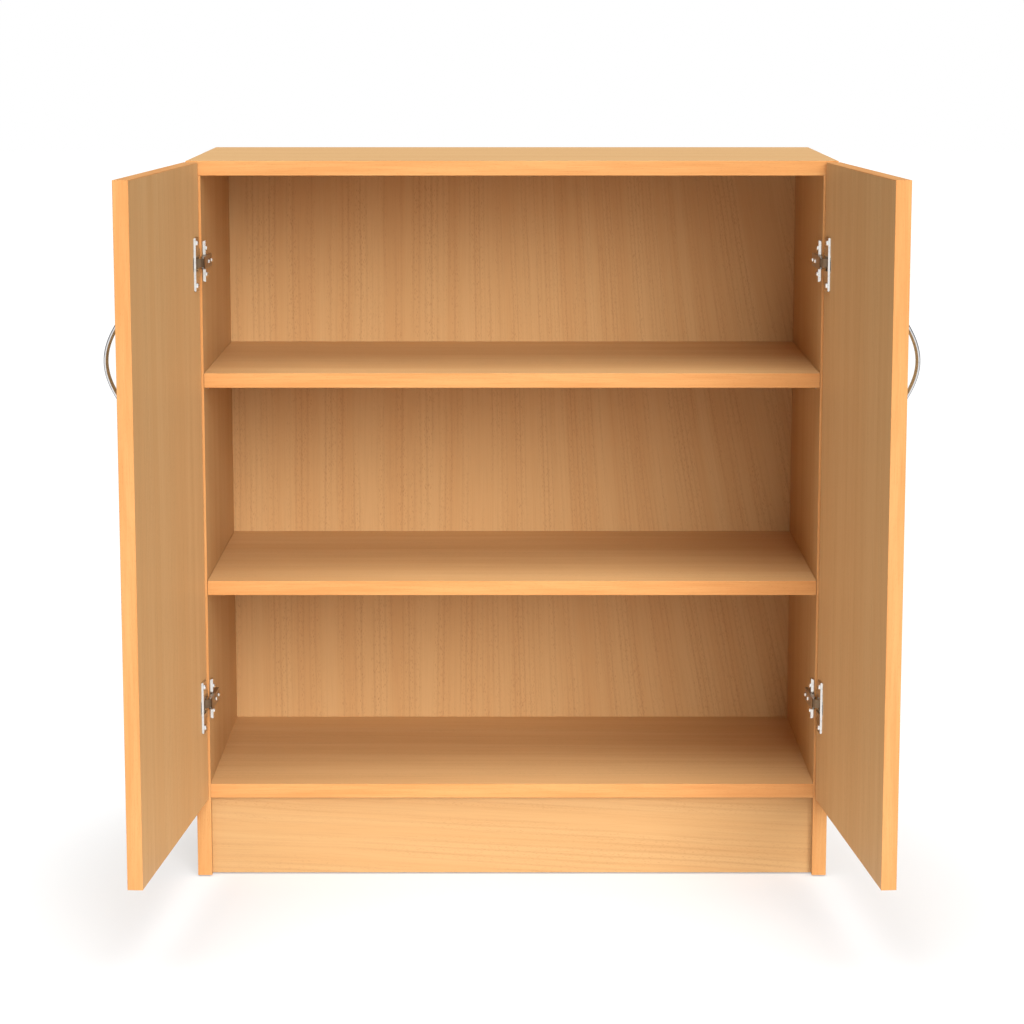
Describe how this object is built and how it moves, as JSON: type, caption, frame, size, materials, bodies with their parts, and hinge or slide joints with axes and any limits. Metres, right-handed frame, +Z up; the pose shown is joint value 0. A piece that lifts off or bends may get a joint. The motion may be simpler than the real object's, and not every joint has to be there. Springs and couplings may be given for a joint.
{
  "type": "low storage cabinet",
  "caption": "Low beech-effect storage cabinet with overlay doors on concealed cup hinges, fixed-height shelves and a set-back plinth.",
  "frame": {"origin": "on the floor, in the middle of the floor area that the cabinet takes with both doors open", "axes": "+X to the right seen from the front, +Y from the front to the back, +Z up"},
  "size_m": [0.913, 0.7806, 0.907],
  "materials": {
    "beech_board": "beech-effect foil on board, satin",
    "back_board": "beech-effect foil on thin board, satin",
    "plinth_board": "beech-effect foil on board, grain across",
    "edge_strip": "beech-effect edge strip, satin",
    "dowel_beech": "plain turned beech",
    "stud_steel": "bright plated steel",
    "hinge_nickel": "nickel-plated pressed steel",
    "screw_steel": "nickel-plated steel",
    "handle_chrome": "polished chrome plate",
    "glide_plastic": "dark moulded plastic"
  },
  "bodies": {
    "carcass": {"top_panel": "beech_board", "top_edging": "edge_strip", "bottom_panel": "beech_board", "bottom_edging": "edge_strip", "plinth": "plinth_board", "back_panel": "back_board", "lower_shelf": "beech_board", "lower_shelf_edging": "edge_strip", "upper_shelf": "beech_board", "upper_shelf_edging": "edge_strip", "top_dowels": "dowel_beech", "bottom_dowels": "dowel_beech", "plinth_dowels": "dowel_beech", "shelf_studs": "stud_steel", "floor_glides": "glide_plastic", "left_side_panel": "beech_board", "right_side_panel": "beech_board", "left_side_edging": "edge_strip", "right_side_edging": "edge_strip", "left_hinge_plates": "hinge_nickel", "right_hinge_plates": "hinge_nickel", "left_hinge_plate_screws": "screw_steel", "right_hinge_plate_screws": "screw_steel", "left_hinge_arms": "hinge_nickel", "right_hinge_arms": "hinge_nickel", "left_hinge_arm_screws": "screw_steel", "right_hinge_arm_screws": "screw_steel", "left_hinge_nose_pins": "screw_steel", "right_hinge_nose_pins": "screw_steel"},
    "left_door": {"left_door": "beech_board", "left_door_edging": "edge_strip", "left_hinge_cups": "hinge_nickel", "left_hinge_cup_screws": "screw_steel", "left_handle": "handle_chrome", "left_handle_screws": "screw_steel"},
    "left_upper_hinge_link": {"left_upper_hinge_link": "hinge_nickel"},
    "left_lower_hinge_link": {"left_lower_hinge_link": "hinge_nickel"},
    "right_door": {"right_door": "beech_board", "right_door_edging": "edge_strip", "right_hinge_cups": "hinge_nickel", "right_hinge_cup_screws": "screw_steel", "right_handle": "handle_chrome", "right_handle_screws": "screw_steel"},
    "right_upper_hinge_link": {"right_upper_hinge_link": "hinge_nickel"},
    "right_lower_hinge_link": {"right_lower_hinge_link": "hinge_nickel"}
  },
  "joints": [
    {"name": "left_door_hinge", "type": "hinge", "parent": "carcass", "child": "left_door", "pos_m": [-0.3925, -0.00017, 0.5], "axis": [0, 0, -1], "range_deg": [-95, 10]},
    {"name": "left_upper_link_pivot", "type": "hinge", "parent": "carcass", "child": "left_upper_hinge_link", "pos_m": [-0.3794, -0.00027, 0.783], "axis": [0, 0, -1], "range_deg": [-6, 53]},
    {"name": "left_lower_link_pivot", "type": "hinge", "parent": "carcass", "child": "left_lower_hinge_link", "pos_m": [-0.3794, -0.00027, 0.229], "axis": [0, 0, -1], "range_deg": [-6, 53]},
    {"name": "right_door_hinge", "type": "hinge", "parent": "carcass", "child": "right_door", "pos_m": [0.3925, -0.00017, 0.5], "axis": [0, 0, 1], "range_deg": [-95, 10]},
    {"name": "right_upper_link_pivot", "type": "hinge", "parent": "carcass", "child": "right_upper_hinge_link", "pos_m": [0.3794, -0.00027, 0.783], "axis": [0, 0, 1], "range_deg": [-6, 53]},
    {"name": "right_lower_link_pivot", "type": "hinge", "parent": "carcass", "child": "right_lower_hinge_link", "pos_m": [0.3794, -0.00027, 0.229], "axis": [0, 0, 1], "range_deg": [-6, 53]}
  ],
  "couplings": [
    {"joint": "left_upper_link_pivot", "follows": "left_door_hinge", "ratio": -0.53819},
    {"joint": "left_lower_link_pivot", "follows": "left_door_hinge", "ratio": -0.53819},
    {"joint": "right_upper_link_pivot", "follows": "right_door_hinge", "ratio": -0.53819},
    {"joint": "right_lower_link_pivot", "follows": "right_door_hinge", "ratio": -0.53819}
  ]
}
